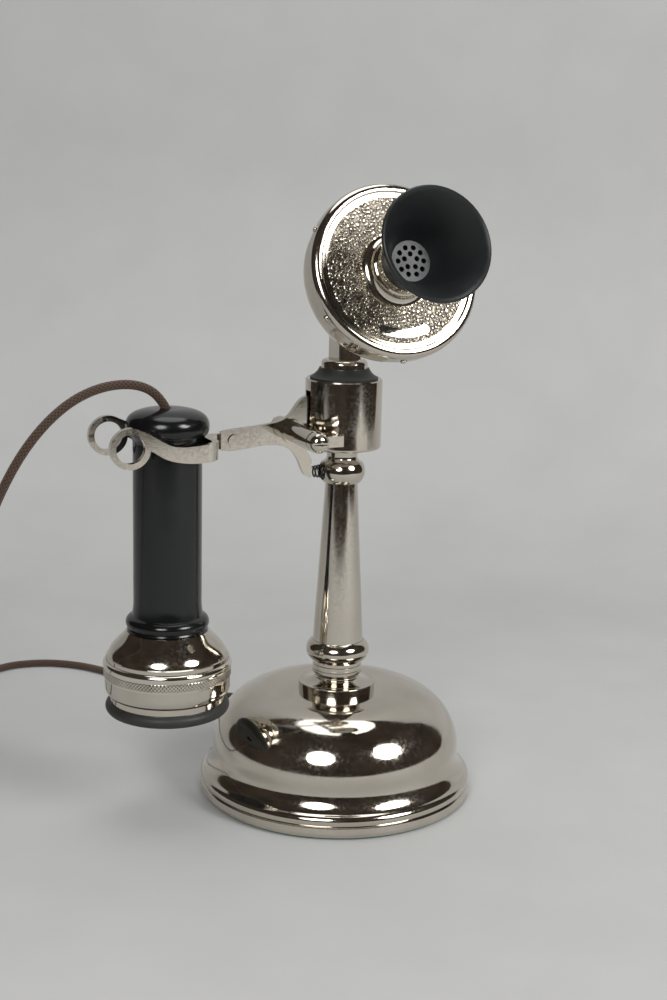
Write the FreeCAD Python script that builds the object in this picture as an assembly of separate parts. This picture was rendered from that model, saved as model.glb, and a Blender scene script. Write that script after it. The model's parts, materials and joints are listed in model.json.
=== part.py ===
"""Desk-stand telephone of the candlestick kind, as separate named pieces, in millimetres.

The origin is the centre of the foot on the table, +Z is up, the transmitter faces -Y and the hook reaches to -X.
Each function makes one piece, and the last part of the script writes one STEP file for each.
"""

import FreeCAD, Part  # noqa: E401  FreeCAD has to come first
import math
import os

V = FreeCAD.Vector
X_AXIS = V(1, 0, 0)
Y_AXIS = V(0, 1, 0)
Z_AXIS = V(0, 0, 1)

# Fits
RUN_FIT = 0.05          # radial clearance of a turning pin
SLIP_FIT = 0.1          # radial clearance of pieces that are screwed or pushed together
BODY_GAP = 0.3          # air between pieces that move past each other

# Foot and base
FELT_THICK = 1.2
FOOT_RADIUS = 71.5      # widest part of the rim
FELT_RADIUS = FOOT_RADIUS - 3.5
BASE_WALL = 1.6
PLATE_THICK = 1.2
PLATE_RADIUS = FOOT_RADIUS - 5.5
DOME_RADIUS = FOOT_RADIUS - 7.0             # upright wall of the dome
SHOULDER_BEND = 30.0    # radius of the dome's shoulder in section
WALL_TOP = 25.0         # where the upright wall turns into the shoulder
DOME_HEIGHT = WALL_TOP + SHOULDER_BEND + 0.5
WEIGHT_RADIUS = DOME_RADIUS - 4.5
WEIGHT_BORE = 26.0
WEIGHT_HEIGHT = 11.0
PLATE_SCREWS = 3
PLATE_SCREW_CIRCLE = (WEIGHT_RADIUS + WEIGHT_BORE) / 2 + 3
PLATE_SCREW_RADIUS = 2.0

# Column
COLLAR_RADIUS = 20.0
COLLAR_TOP = DOME_HEIGHT + 3.8
FOOT_SEAT = COLLAR_TOP + 2.0                # where the column's foot sits on the collar
STEM_BOTTOM = FOOT_SEAT + 20.3
STEM_LENGTH = 83.9
STEM_TOP = STEM_BOTTOM + STEM_LENGTH
STEM_BOTTOM_RADIUS = 13.1
STEM_TOP_RADIUS = 8.3
STEM_WALL = 1.6
LOWER_BEAD_RADIUS = 16.5
UPPER_BEAD_RADIUS = 12.0
UPPER_BEAD_Z = STEM_TOP + 6.0
COLUMN_BORE = 4.4
SPIGOT_RADIUS = 6.0
NUT_THICK = 4.0
WASHER_THICK = 1.5

# Switch housing
HOUSING_RADIUS = 19.6
HOUSING_WALL = 1.8
LOWER_HEIGHT = 9.5      # height of the housing's lower cup
BARREL_HEIGHT = 25.7
SHOULDER_HEIGHT = 5.3
HOUSING_BOTTOM = UPPER_BEAD_Z + 12.0
HOUSING_SEAM = HOUSING_BOTTOM + LOWER_HEIGHT
HOUSING_TOP = HOUSING_SEAM + BARREL_HEIGHT
SHOULDER_TOP = HOUSING_TOP + SHOULDER_HEIGHT
SHOULDER_RADIUS = HOUSING_RADIUS - 2.4
SHOULDER_TOP_RADIUS = SHOULDER_RADIUS - 4.6
SLOT_HALF_WIDTH = 3.0
SLOT_TOP = HOUSING_TOP - 5.7

# Hook
PIVOT_X = -HOUSING_RADIUS - 8.4
PIVOT_Z = HOUSING_SEAM - 0.2
PIVOT_RADIUS = 2.4
HUB_RADIUS = 5.0
HUB_FRONT = HOUSING_RADIUS - 4.4            # how far the hub reaches before and behind the lever
HUB_REAR = 8.0
EYE_RADIUS = 5.3
EYE_FRONT = 15.0
EYE_REAR = 7.7
PIVOT_HEAD = 8.0
LEVER_THICK = 3.0
LEVER_REACH = 38.0      # pivot to the lever's end
LEVER_END = PIVOT_X - LEVER_REACH
FORK_SCREW_X = LEVER_END + 6.7
FORK_SCREW_Z = PIVOT_Z - 3.0
FORK_SCREW_RADIUS = 2.0
TONGUE_THICK = 2.5
TINE_THICK = 3.0
TINE_GAP = 35.2         # clear width between the tines
FORK_BACK = LEVER_END - 6.0                 # lever's side of the fork's bow
RECEIVER_X = FORK_BACK - 21.0               # the receiver's axis
RING_X = RECEIVER_X - 24.5
RING_Z = PIVOT_Z - 0.8
RING_RADIUS = 9.9
RING_HOLE = 7.0

# Hook spring, a cone of wire between the lower arm and a pocket in the column's head
SPRING_WIRE = 0.9
SPRING_TURNS = 4.5
SPRING_SMALL = 2.4
SPRING_LARGE = 3.6
POCKET_RADIUS = 4.6
POCKET_X = 3.4 - UPPER_BEAD_RADIUS
LOWER_ARM_X = -UPPER_BEAD_RADIUS - 5.4

# Transmitter
TILT = 20.2             # degrees above level
TILT_PIVOT_Y = 0.0
POST_HEIGHT = 28.0      # shoulder to the tilt pivot
TILT_PIVOT_Z = SHOULDER_TOP + POST_HEIGHT
TILT_REACH = 60.9       # tilt pivot to the plane of the rim
TILT_DROP = 3.8         # tilt pivot below the transmitter's axis
POST_HALF_WIDTH = 5.9
POST_RADIUS = 6.4
POST_DISC_RADIUS = SHOULDER_TOP_RADIUS - 0.8
POST_DISC_TOP = SHOULDER_TOP + 4.5
STUD_RADIUS = 3.9
STUD_BOTTOM = HOUSING_TOP - 8.1
EAR_THICK = 3.0
TILT_SCREW_RADIUS = 2.5
BRACKET_HALF = 14.5     # half the width of the bracket's plate
FACE_RADIUS = 37.3
RIM_RADIUS = FACE_RADIUS + 4.8
CUP_RADIUS = FACE_RADIUS + 2.9
CUP_WALL = 1.6
CUP_DEPTH = 26.0
FACE_BACK = -3.4
NECK_RADIUS = 13.4      # nickel neck that the mouthpiece screws into
NECK_LENGTH = 13.2
NECK_BORE = NECK_RADIUS - 2.8
MOUTH_RADIUS = NECK_RADIUS + 13.4
MOUTH_LENGTH = NECK_LENGTH + 30.8
MOUTH_WALL = 1.7
MOUTH_GRILLE = NECK_LENGTH + 2.8            # front of the pierced disc
GRILLE_THICK = 2.0
GRILLE_RADIUS = NECK_RADIUS - 3.8
GRILLE_HOLE = 1.25
GRILLE_OUTER = GRILLE_RADIUS - 3.1          # circles that the holes lie on
GRILLE_INNER = 3.3
RIM_SCREWS = 6
DIAPHRAGM_RADIUS = FACE_RADIUS - 9.3
BUTTON_RADIUS = 11.0
BRIDGE_HALF = FACE_RADIUS - 1.3
BRIDGE_POST_X = BRIDGE_HALF - 3.0

# Receiver
SHELL_RADIUS = TINE_GAP / 2 - 0.7
SHELL_LENGTH = 93.8
SHELL_TOP = PIVOT_Z - 2.5
SHELL_BOTTOM = SHELL_TOP - SHELL_LENGTH
SHELL_BORE = SHELL_RADIUS - 2.3
CAP_RADIUS = SHELL_RADIUS + 3.5
CAP_TOP = SHELL_TOP + 17.3
FLANGE_RADIUS = SHELL_RADIUS + 3.7
BAND_RADIUS = 31.4
CLAMP_RADIUS = BAND_RADIUS + 0.6
CLAMP_TOP = SHELL_BOTTOM - 14.7
BAND_TOP = CLAMP_TOP - 9.0
BAND_BOTTOM = BAND_TOP - 12.4
BAND_WALL = 1.8
EAR_RADIUS = BAND_RADIUS - 0.5
EAR_BOTTOM = BAND_BOTTOM - 6.6
EAR_HOLE = 5.0
POLE_Y = 7.2
MAGNET_WIDE = 10.0
MAGNET_DEEP = 5.0
MAGNET_BOTTOM = CLAMP_TOP - 2.8
MAGNET_TOP = SHELL_TOP - 12.3
BRIDGE_PLATE = 3.0

# Cord
CORD_RADIUS = 2.25
CORD_HOLE = 2.6
CORD_EXIT_Z = 20.0      # height of the bushing in the back of the base
BUSHING_RADIUS = 4.6
BUSHING_FLANGE = 6.4

# The cord's route: out of the receiver's tail, to the left, down to the table, round behind and into the base
CORD_ROUTE = [
    (RECEIVER_X + 0.7, 0, CAP_TOP - 3.4), (RECEIVER_X - 3.5, 0, CAP_TOP + 5.8),
    (-108, 0, 219.8), (-124, 0, 219.4), (-139, 0, 213.6),
    (-152, 1, 203), (-163, 3, 189), (-172, 6, 172), (-179, 12, 152), (-184, 20, 128),
    (-187, 32, 100), (-188, 48, 70), (-188, 68, 40), (-187, 92, 17), (-184, 120, 5),
    (-178, 151, 2.3), (-168, 185, 2.3), (-152, 218, 2.3), (-128, 246, 2.3), (-99, 246, 2.3),
    (-76, 230, 2.3), (-61, 206, 2.3), (-45, 179, 2.3), (-27, 157, 2.3), (-9, 144, 2.3),
    (6, 132, 2.4), (10, 115, 4), (5, 99, 10.5), (1, 85, 18),
    (0, DOME_RADIUS + 8.5, CORD_EXIT_Z), (0, DOME_RADIUS - 3.0, CORD_EXIT_Z),
]


def outline(start, *steps):
    """Closed wire in the XZ plane. Two numbers are a straight step, four an arc through the first point,
    and a list of points a smooth curve through them."""
    edges = []
    here = V(start[0], 0, start[1])
    for step in steps:
        if isinstance(step, list):
            curve = Part.BSplineCurve()
            curve.interpolate([here] + [V(r, 0, z) for r, z in step])
            edges.append(curve.toShape())
            here = V(step[-1][0], 0, step[-1][1])
        elif len(step) == 4:
            end = V(step[2], 0, step[3])
            edges.append(Part.Arc(here, V(step[0], 0, step[1]), end).toShape())
            here = end
        else:
            end = V(step[0], 0, step[1])
            edges.append(Part.LineSegment(here, end).toShape())
            here = end
    first = V(start[0], 0, start[1])
    if here.distanceToPoint(first) > 1e-6:
        edges.append(Part.LineSegment(here, first).toShape())
    return Part.Wire(edges)


def turned(start, *steps):
    """Solid of revolution about Z from an outline of radius and height."""
    return Part.Face(outline(start, *steps)).revolve(V(0, 0, 0), Z_AXIS, 360)


def plate(start, *steps, half):
    """Flat plate in the XZ plane, half its thickness to each side of Y = 0."""
    face = Part.Face(outline(start, *steps))
    face.translate(V(0, -half, 0))
    return face.extrude(V(0, 2 * half, 0))


def rod(radius, start, end):
    """Round bar between two points."""
    a, b = V(*start), V(*end)
    return Part.makeCylinder(radius, a.distanceToPoint(b), a, b - a)


def block(low, high):
    """Rectangular block between two corners."""
    return Part.makeBox(high[0] - low[0], high[1] - low[1], high[2] - low[2], V(*low))


def tube(radius, bore, bottom, top):
    return turned((bore, bottom), (radius, bottom), (radius, top), (bore, top))


def hex_nut(flats, bore, bottom, top):
    """Hexagon nut on the Z axis."""
    corner = flats / math.sqrt(3)
    points = [V(corner * math.cos(math.radians(60 * k)), corner * math.sin(math.radians(60 * k)), bottom)
              for k in range(7)]
    body = Part.Face(Part.makePolygon(points)).extrude(V(0, 0, top - bottom))
    return body.cut(rod(bore, (0, 0, bottom - 1), (0, 0, top + 1)))


def button_head(radius, height):
    """Low rounded head of a screw or rivet, standing on Z = 0."""
    return turned((0, 0), (radius, 0), (radius, 0.3 * height), (0.85 * radius, 0.8 * height, 0.5 * radius, height),
                  (0, height))


def around(count, radius, phase=0.0):
    """Points evenly spaced on a circle in the XY plane."""
    angles = [math.radians(phase + 360.0 * k / count) for k in range(count)]
    return [(radius * math.cos(a), radius * math.sin(a)) for a in angles]


# Base

def dome_steps(wall):
    """Outline steps of the dome from the notch above the rim to the top of its shoulder, set in by a wall."""
    bend = SHOULDER_BEND - wall
    crown = DOME_RADIUS - SHOULDER_BEND
    lean = math.radians(45)
    return [(DOME_RADIUS + 3.7 - wall, 12.8), (DOME_RADIUS + 0.9 - wall, 17.4, DOME_RADIUS - wall, WALL_TOP),
            (crown + bend * math.cos(lean), WALL_TOP + bend * math.sin(lean), crown, WALL_TOP + bend)]


def dome_solid():
    """The whole dome without its hollow, used to seat pieces on it."""
    return turned((0, FELT_THICK), (FOOT_RADIUS, FELT_THICK), *dome_steps(0.0), (0, DOME_HEIGHT))


def under_dome():
    """Height of the dome's inside at its centre."""
    return WALL_TOP + SHOULDER_BEND - BASE_WALL


def base_shell():
    inner_rim = PLATE_RADIUS + SLIP_FIT
    bore = SPIGOT_RADIUS + SLIP_FIT
    shell = turned((0, FELT_THICK), (FOOT_RADIUS - 0.8, FELT_THICK), (FOOT_RADIUS, 3.2), (FOOT_RADIUS - 0.5, 6.0),
                   (FOOT_RADIUS - 1.4, 6.4), (FOOT_RADIUS - 0.3, 9.2, FOOT_RADIUS - 2.5, 12.2),
                   *dome_steps(0.0), (0, DOME_HEIGHT))
    hollow = turned((0, FELT_THICK), (inner_rim, FELT_THICK), *dome_steps(BASE_WALL), (0, under_dome()))
    shell = shell.cut(hollow).cut(rod(bore, (0, 0, under_dome() - 1), (0, 0, DOME_HEIGHT + 1)))
    return shell.cut(rod(BUSHING_RADIUS, (0, DOME_RADIUS - 12, CORD_EXIT_Z), (0, FOOT_RADIUS, CORD_EXIT_Z)))


def plate_screw_places():
    return around(PLATE_SCREWS, PLATE_SCREW_CIRCLE, 90.0)


def felt_pad():
    return turned((0, 0), (FELT_RADIUS, 0), (FELT_RADIUS, FELT_THICK), (0, FELT_THICK))


def bottom_plate():
    top = FELT_THICK + PLATE_THICK
    disc = turned((0, FELT_THICK), (PLATE_RADIUS, FELT_THICK), (PLATE_RADIUS, top), (0, top))
    for x, y in plate_screw_places():
        disc = disc.cut(rod(PLATE_SCREW_RADIUS, (x, y, 0), (x, y, top + 1)))
    return disc


def base_weight():
    bottom = FELT_THICK + PLATE_THICK
    top = bottom + WEIGHT_HEIGHT
    ring = turned((WEIGHT_BORE, bottom), (WEIGHT_RADIUS, bottom), (WEIGHT_RADIUS, top - 2),
                  (WEIGHT_RADIUS - 2, top), (WEIGHT_BORE, top))
    for x, y in plate_screw_places():
        ring = ring.cut(rod(PLATE_SCREW_RADIUS, (x, y, bottom - 1), (x, y, top - 3)))
    return ring


def plate_screws():
    top = FELT_THICK + PLATE_THICK + WEIGHT_HEIGHT - 3
    return Part.makeCompound([rod(PLATE_SCREW_RADIUS, (x, y, FELT_THICK), (x, y, top))
                              for x, y in plate_screw_places()])


def cord_bushing():
    """Hard-rubber bushing in the back of the base, with a blind bore that the cord ends in."""
    face = DOME_RADIUS + 3.5
    flange = rod(BUSHING_FLANGE, (0, DOME_RADIUS - 8, CORD_EXIT_Z), (0, face, CORD_EXIT_Z)).cut(dome_solid())
    body = rod(BUSHING_RADIUS, (0, DOME_RADIUS - 7, CORD_EXIT_Z), (0, face, CORD_EXIT_Z))
    end = CORD_ROUTE[-1]
    bore = rod(CORD_HOLE, end, (0, face + 1, CORD_EXIT_Z))
    return body.fuse(flange).removeSplitter().cut(bore)


# Column

def base_collar():
    ring = turned((SPIGOT_RADIUS + SLIP_FIT, DOME_HEIGHT - 5), (COLLAR_RADIUS, DOME_HEIGHT - 5),
                  (COLLAR_RADIUS, COLLAR_TOP - 0.5), (COLLAR_RADIUS - 0.5, COLLAR_TOP),
                  (COLLAR_RADIUS - 5.5, COLLAR_TOP + 0.5, 11.8, FOOT_SEAT), (SPIGOT_RADIUS + SLIP_FIT, FOOT_SEAT))
    return ring.cut(dome_solid())


def stem_foot():
    """Turned foot of the column: waist, ring and bead, with a spigot down through the collar and the dome."""
    bead = LOWER_BEAD_RADIUS
    inside = STEM_BOTTOM_RADIUS - STEM_WALL - SLIP_FIT
    return turned((COLUMN_BORE, DOME_HEIGHT - 14), (SPIGOT_RADIUS, DOME_HEIGHT - 14), (SPIGOT_RADIUS, FOOT_SEAT),
                  (11.6, FOOT_SEAT), (11.4, FOOT_SEAT + 1.4, 12.6, FOOT_SEAT + 2.8), (12.9, FOOT_SEAT + 3.0),
                  (12.9, FOOT_SEAT + 4.6), (12.5, FOOT_SEAT + 4.8), (12.5, FOOT_SEAT + 5.4),
                  (12.9, FOOT_SEAT + 5.6), (12.9, FOOT_SEAT + 7.2), (12.3, FOOT_SEAT + 7.5),
                  (12.3, FOOT_SEAT + 9.0), (13.2, FOOT_SEAT + 9.6),
                  (bead, (FOOT_SEAT + 9.6 + STEM_BOTTOM) / 2, 13.4, STEM_BOTTOM),
                  (inside, STEM_BOTTOM), (inside - 0.3, STEM_BOTTOM + 6), (COLUMN_BORE, STEM_BOTTOM + 6))


def stem_washer():
    return tube(12.0, SPIGOT_RADIUS + SLIP_FIT, under_dome() - WASHER_THICK, under_dome())


def stem_nut():
    top = under_dome() - WASHER_THICK
    return hex_nut(17.0, SPIGOT_RADIUS, top - NUT_THICK, top)


def stem_tube():
    return turned((STEM_BOTTOM_RADIUS - STEM_WALL, STEM_BOTTOM), (STEM_BOTTOM_RADIUS, STEM_BOTTOM),
                  (STEM_TOP_RADIUS, STEM_TOP), (STEM_TOP_RADIUS - STEM_WALL, STEM_TOP))


def stem_head():
    """Bead and neck at the top of the column, with a pocket that seats the hook spring."""
    inside = STEM_TOP_RADIUS - STEM_WALL - SLIP_FIT
    bead = UPPER_BEAD_RADIUS
    head = turned((COLUMN_BORE, STEM_TOP - 7), (inside, STEM_TOP - 7), (inside, STEM_TOP), (9.6, STEM_TOP),
                  (bead, UPPER_BEAD_Z - 0.6, 10.6, UPPER_BEAD_Z + 4.2),
                  (8.3, UPPER_BEAD_Z + 6.0, 8.0, UPPER_BEAD_Z + 8.6), (8.4, HOUSING_BOTTOM - 1.0),
                  (9.4, HOUSING_BOTTOM), (SPIGOT_RADIUS, HOUSING_BOTTOM),
                  (SPIGOT_RADIUS, HOUSING_BOTTOM + HOUSING_WALL + NUT_THICK),
                  (COLUMN_BORE, HOUSING_BOTTOM + HOUSING_WALL + NUT_THICK))
    return head.cut(rod(POCKET_RADIUS, (POCKET_X, 0, UPPER_BEAD_Z), (-2 * bead, 0, UPPER_BEAD_Z)))


# Switch housing

def housing_cup():
    """Lower cup of the switch housing with two lugs whose eyes carry the hook's pivot."""
    inner = HOUSING_RADIUS - HOUSING_WALL
    cup = turned((SPIGOT_RADIUS + SLIP_FIT, HOUSING_BOTTOM), (HOUSING_RADIUS - 1.5, HOUSING_BOTTOM),
                 (HOUSING_RADIUS - 0.4, HOUSING_BOTTOM + 0.4, HOUSING_RADIUS, HOUSING_BOTTOM + 1.5),
                 (HOUSING_RADIUS, HOUSING_SEAM), (inner, HOUSING_SEAM), (inner, HOUSING_BOTTOM + HOUSING_WALL),
                 (SPIGOT_RADIUS + SLIP_FIT, HOUSING_BOTTOM + HOUSING_WALL))
    hollow = rod(inner, (0, 0, HOUSING_BOTTOM + HOUSING_WALL), (0, 0, HOUSING_TOP))
    for side, near, length in ((-1, HUB_FRONT + BODY_GAP, EYE_FRONT), (1, HUB_REAR + BODY_GAP, EYE_REAR)):
        ends = sorted((side * near, side * (near + length)))
        eye = rod(EYE_RADIUS, (PIVOT_X, ends[0], PIVOT_Z), (PIVOT_X, ends[1], PIVOT_Z))
        web_ends = sorted((side * near, side * (near + 5.5)))
        web = block((PIVOT_X, web_ends[0], PIVOT_Z - EYE_RADIUS),
                    (-math.sqrt(inner ** 2 - near ** 2), web_ends[1], HOUSING_SEAM))
        bore = rod(PIVOT_RADIUS + RUN_FIT, (PIVOT_X, ends[0] - 1, PIVOT_Z), (PIVOT_X, ends[1] + 1, PIVOT_Z))
        cup = cup.fuse(web.cut(hollow)).fuse(eye).cut(bore)
    return cup.removeSplitter()


def housing_nut():
    floor = HOUSING_BOTTOM + HOUSING_WALL
    return hex_nut(17.0, SPIGOT_RADIUS, floor, floor + NUT_THICK)


def housing_barrel():
    """Upper barrel with a roof and the slot that the hook's upper arm works in."""
    inner = HOUSING_RADIUS - HOUSING_WALL
    roof = HOUSING_TOP - HOUSING_WALL
    barrel = turned((inner, HOUSING_SEAM), (HOUSING_RADIUS, HOUSING_SEAM), (HOUSING_RADIUS, HOUSING_TOP - 0.6),
                    (HOUSING_RADIUS - 0.6, HOUSING_TOP), (STUD_RADIUS + SLIP_FIT, HOUSING_TOP),
                    (STUD_RADIUS + SLIP_FIT, roof), (inner, roof))
    slot = block((-HOUSING_RADIUS - 1, -SLOT_HALF_WIDTH, HOUSING_SEAM - 1), (-10, SLOT_HALF_WIDTH, SLOT_TOP))
    return barrel.cut(slot)


def shoulder():
    """Black insulating shoulder between the housing and the transmitter post."""
    return turned((STUD_RADIUS + SLIP_FIT, HOUSING_TOP), (SHOULDER_RADIUS, HOUSING_TOP),
                  (SHOULDER_RADIUS, HOUSING_TOP + 0.7),
                  (SHOULDER_RADIUS - 2.6, HOUSING_TOP + 2.4, SHOULDER_TOP_RADIUS, SHOULDER_TOP),
                  (STUD_RADIUS + SLIP_FIT, SHOULDER_TOP))


def switch_frame():
    """Bar that stands on the cup's floor and carries the contact springs."""
    floor = HOUSING_BOTTOM + HOUSING_WALL
    return block((10.2, -5, floor), (13.4, 5, HOUSING_SEAM + 5.0))


def blade_places():
    """Left faces of the contact blades, counted from the lever's side."""
    return [0.4, 3.6, 6.8]


def switch_blades():
    low = HOUSING_SEAM - 2.4
    high = HOUSING_SEAM + 15.5
    return Part.makeCompound([block((x, -3, low), (x + 0.6, 3, high)) for x in blade_places()])


def switch_insulators():
    low = HOUSING_SEAM - 2.4
    high = HOUSING_SEAM + 4.0
    return Part.makeCompound([block((x + 0.6, -4, low), (x + 3.2, 4, high)) for x in blade_places()]
                             + [block((10.0, -4, low), (10.2, 4, high))])


def post_nut():
    roof = HOUSING_TOP - HOUSING_WALL
    return hex_nut(12.0, STUD_RADIUS, roof - NUT_THICK, roof)


# Hook

def hook_lever():
    """Flat lever with an upper arm into the housing, a lower arm for the spring and a long hub."""
    x, z = PIVOT_X, PIVOT_Z
    bead = UPPER_BEAD_Z
    clear = -HOUSING_RADIUS - 2 * BODY_GAP
    body = plate((LEVER_END, z + 1.6), [(x - 23, z + 3.4), (x - 12, z + 4.6), (x - 5, z + 6.4), (x - 0.7, z + 10)],
                 [(x + 2, z + 13.6), (x + 4.6, z + 16.4), (x + 7.8, z + 17.8)], (-2.6, z + 16.2), (-2.6, z + 10.8),
                 (x + 10.8, z + 8.8), (clear, z + 1.7), (clear, HOUSING_BOTTOM - 1.1),
                 (LOWER_ARM_X, HOUSING_BOTTOM - 5.1), (LOWER_ARM_X, bead - 2.6),
                 [(LOWER_ARM_X - 3, bead - 1.9), (x + 5.3, bead + 1.5), (x + 2.5, bead + 7.8), (x - 1.4, z - 9.2),
                  (x - 7, z - 6.8), (x - 17, z - 6.4), (LEVER_END, z - 7.6)], half=LEVER_THICK / 2)
    hub = rod(HUB_RADIUS, (PIVOT_X, -HUB_FRONT, PIVOT_Z), (PIVOT_X, HUB_REAR, PIVOT_Z))
    flange = rod(HUB_RADIUS + 1.2, (PIVOT_X, -4, PIVOT_Z), (PIVOT_X, 4, PIVOT_Z))
    bore = rod(PIVOT_RADIUS + RUN_FIT, (PIVOT_X, -HUB_FRONT - 1, PIVOT_Z), (PIVOT_X, HUB_REAR + 1, PIVOT_Z))
    hole = rod(FORK_SCREW_RADIUS, (FORK_SCREW_X, -9, FORK_SCREW_Z), (FORK_SCREW_X, 9, FORK_SCREW_Z))
    return body.fuse(flange).fuse(hub).removeSplitter().cut(bore).cut(hole)


def hook_fork():
    """Fork that holds the receiver: a bow with two S-shaped tines that end in rings, and a tongue to the lever."""
    outer = TINE_GAP / 2 + TINE_THICK
    inner = TINE_GAP / 2
    back = FORK_BACK
    x, z = RECEIVER_X, PIVOT_Z
    side = plate((back, z + 0.2), [(x + 15, z - 0.4), (x + 6, z - 1.1), (x - 2, z - 0.9), (x - 10, z + 2.6),
                                   (x - 16, z + 6.2), (RING_X, RING_Z + RING_RADIUS - 1)],
                 (RING_X, RING_Z - 4.0), [(x - 15, z - 2), (x - 9, z - 5.6), (x, z - 8.6), (x + 10, z - 9.4),
                                          (back, z - 8.2)],
                 half=outer)
    disc = rod(RING_RADIUS, (RING_X, -outer, RING_Z), (RING_X, outer, RING_Z))
    hole = rod(RING_HOLE, (RING_X, -outer - 1, RING_Z), (RING_X, outer + 1, RING_Z))
    end = RING_X - RING_RADIUS - 1
    bow = block((end, -outer, z - 40), (back, outer, z + 40))
    bow = bow.makeFillet(7.0, [e for e in bow.Edges if abs(e.BoundBox.XMax - back) < 1e-6
                               and e.BoundBox.XLength < 1e-6 and e.BoundBox.YLength < 1e-6])
    gap = block((end - 1, -inner, z - 50), (back - TINE_THICK, inner, z + 50))
    gap = gap.makeFillet(4.5, [e for e in gap.Edges if abs(e.BoundBox.XMax - back + TINE_THICK) < 1e-6
                               and e.BoundBox.XLength < 1e-6 and e.BoundBox.YLength < 1e-6])
    tines = side.fuse(disc).cut(hole).common(bow.cut(gap))
    rear = LEVER_THICK / 2 + TONGUE_THICK
    tongue = block((back - TINE_THICK / 2, LEVER_THICK / 2, z - 7.4), (FORK_SCREW_X + 5.0, rear, z + 0.2))
    screw = rod(FORK_SCREW_RADIUS, (FORK_SCREW_X, -9, FORK_SCREW_Z), (FORK_SCREW_X, 9, FORK_SCREW_Z))
    return tines.fuse(tongue).removeSplitter().cut(screw)


def fork_screw():
    front = -LEVER_THICK / 2
    shank = rod(FORK_SCREW_RADIUS, (FORK_SCREW_X, front, FORK_SCREW_Z),
                (FORK_SCREW_X, LEVER_THICK / 2 + TONGUE_THICK, FORK_SCREW_Z))
    return shank.fuse(rod(3.1, (FORK_SCREW_X, front - 0.9, FORK_SCREW_Z), (FORK_SCREW_X, front, FORK_SCREW_Z)))


def pivot_screw():
    """Screw that the hook turns on, with a round slotted head in front and a nut behind."""
    front = -(HUB_FRONT + BODY_GAP + EYE_FRONT)
    rear = HUB_REAR + BODY_GAP + EYE_REAR
    shank = rod(PIVOT_RADIUS, (PIVOT_X, front, PIVOT_Z), (PIVOT_X, rear + 3.6, PIVOT_Z))
    head = turned((0, 0), (5.0, 0), (5.0, PIVOT_HEAD - 3.6), (4.0, PIVOT_HEAD - 1.2, 0, PIVOT_HEAD))
    head = head.cut(block((-6, -0.6, PIVOT_HEAD - 1.4), (6, 0.6, PIVOT_HEAD + 1)))
    head.rotate(V(0, 0, 0), X_AXIS, 90)
    head.translate(V(PIVOT_X, front, PIVOT_Z))
    nut = hex_nut(8.0, PIVOT_RADIUS - 0.4, 0, 3.0)
    nut.rotate(V(0, 0, 0), X_AXIS, -90)
    nut.translate(V(PIVOT_X, rear, PIVOT_Z))
    return shank.fuse(head).fuse(nut).removeSplitter()


def biarc(p, t, q, u):
    """Two arcs from p along t to q along u, with one tangent where they meet."""
    chord = q - p
    both = t + u
    spread = 2 * (1 - t.dot(u))
    reach = (-chord.dot(both) + math.sqrt(chord.dot(both) ** 2 + spread * chord.dot(chord))) / spread
    corners = [p + t * reach, q - u * reach]
    middle = (corners[0] + corners[1]) * 0.5
    edges = []
    for a, corner, b in ((p, corners[0], middle), (middle, corners[1], q)):
        half = (b - a).Length / 2
        lift = corner - (a + b) * 0.5
        turn = math.acos(min(1.0, half / reach))
        rise = half * math.tan(turn / 2)
        edges.append(Part.Arc(a, (a + b) * 0.5 + lift * (rise / lift.Length), b).toShape())
    return edges


def spring_point(turn):
    """Point and direction on the spring's cone, whose axis is X, at a count of turns from the small end."""
    left = LOWER_ARM_X + SPRING_WIRE / 2 + BODY_GAP
    right = POCKET_X - SPRING_WIRE / 2 - 0.05
    share = turn / SPRING_TURNS
    radius = SPRING_SMALL + (SPRING_LARGE - SPRING_SMALL) * share
    angle = 2 * math.pi * turn
    grow = (SPRING_LARGE - SPRING_SMALL) / SPRING_TURNS
    point = V(left + (right - left) * share, radius * math.cos(angle), UPPER_BEAD_Z + radius * math.sin(angle))
    speed = 2 * math.pi * radius
    direction = V((right - left) / SPRING_TURNS, grow * math.cos(angle) - speed * math.sin(angle),
                  grow * math.sin(angle) + speed * math.cos(angle))
    return point, direction.normalize()


def hook_spring():
    """Cone-shaped compression spring that pushes the hook up, as one tube along quarter-turn biarcs."""
    quarters = int(SPRING_TURNS * 4)
    stations = [spring_point(k / 4) for k in range(quarters + 1)]
    edges = []
    for (p, t), (q, u) in zip(stations, stations[1:]):
        edges += biarc(p, t, q, u)
    start, heading = stations[0]
    section = Part.Wire(Part.Circle(start, heading, SPRING_WIRE / 2).toShape())
    samples = [spring_point(k / 40)[0] for k in range(int(SPRING_TURNS * 40) + 1)]
    gap = min(a.distanceToPoint(b) for i, a in enumerate(samples) for b in samples[i + 20:]) - SPRING_WIRE
    print(f"hook spring: least gap to itself {gap:.2f} mm")
    return Part.Wire(edges).makePipeShell([section], True, False)


# Transmitter, modelled facing +Z with its rim in the plane Z = 0 and its top towards +Y

def mounted(shape):
    """Turns a transmitter piece to face -Y, sets it on its pivot and tilts it up."""
    shape.rotate(V(0, 0, 0), X_AXIS, 90)
    shape.translate(V(0, TILT_PIVOT_Y - TILT_REACH, TILT_PIVOT_Z + TILT_DROP))
    shape.rotate(V(0, TILT_PIVOT_Y, TILT_PIVOT_Z), X_AXIS, -TILT)
    return shape


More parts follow.
